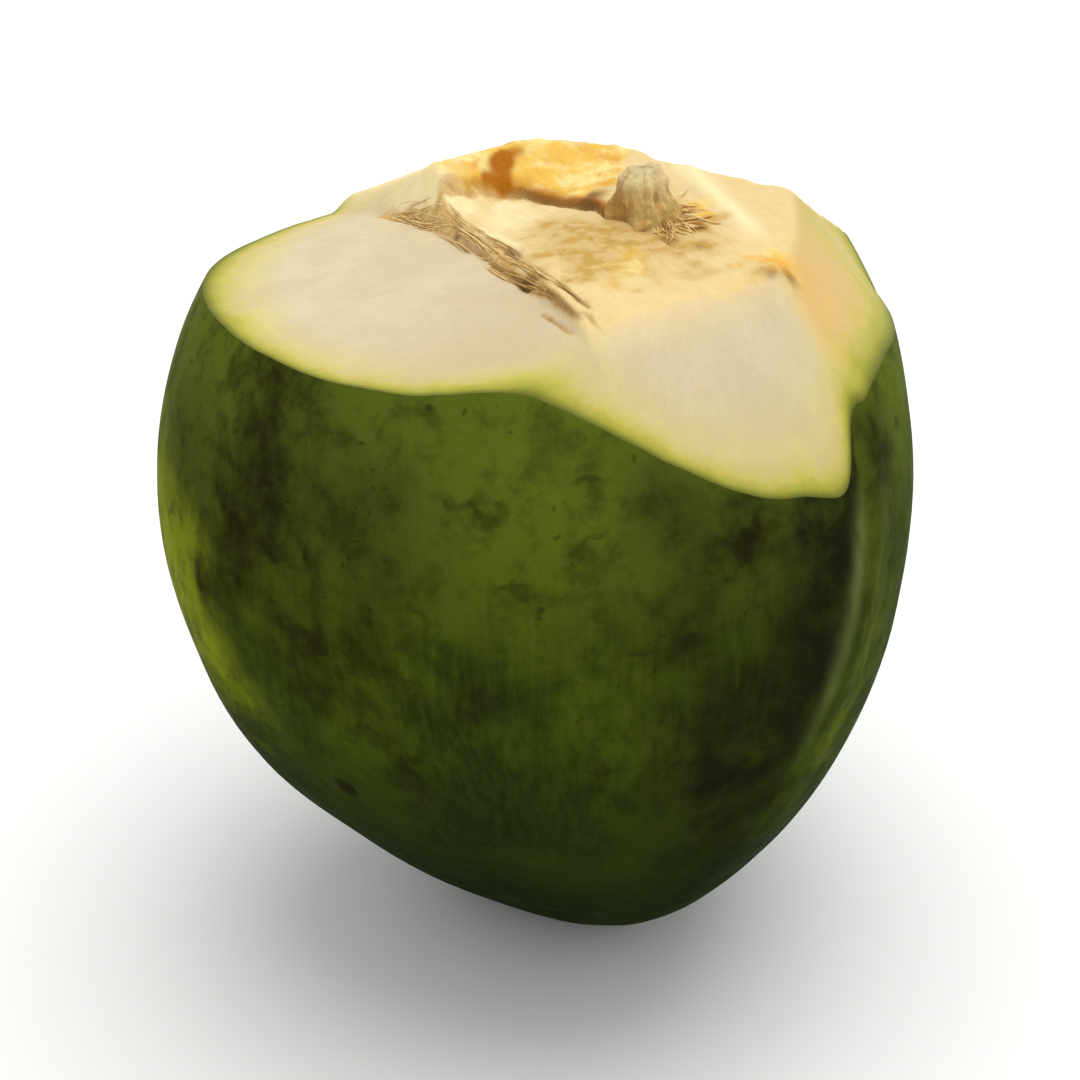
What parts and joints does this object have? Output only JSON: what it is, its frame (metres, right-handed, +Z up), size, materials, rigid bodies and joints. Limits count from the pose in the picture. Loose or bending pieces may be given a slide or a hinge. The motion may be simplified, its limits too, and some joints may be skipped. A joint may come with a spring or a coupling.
{
  "type": "green coconut",
  "caption": "Young green coconut, whole, with its stem end trimmed by knife to pale husk; it rests upright on a small flat spot at its tip.",
  "frame": {"origin": "middle of the small flat spot at the tip that the coconut rests on", "axes": "+Z up through the nut towards its trimmed stem end; the front, with the two big pale cuts, faces -Y, and +X is to the right seen from the front"},
  "size_m": [0.1698, 0.1737, 0.1868],
  "materials": {
    "skin": "waxy green fruit skin, satin, with brown blotches and scuffs",
    "cut_husk": "freshly cut fibrous husk, matte, cream, with a yellow-green rim under the skin",
    "fibre": "torn brown husk fibre and stalk stub, matte"
  },
  "bodies": {
    "root": {"coconut": "skin"}
  },
  "joints": []
}
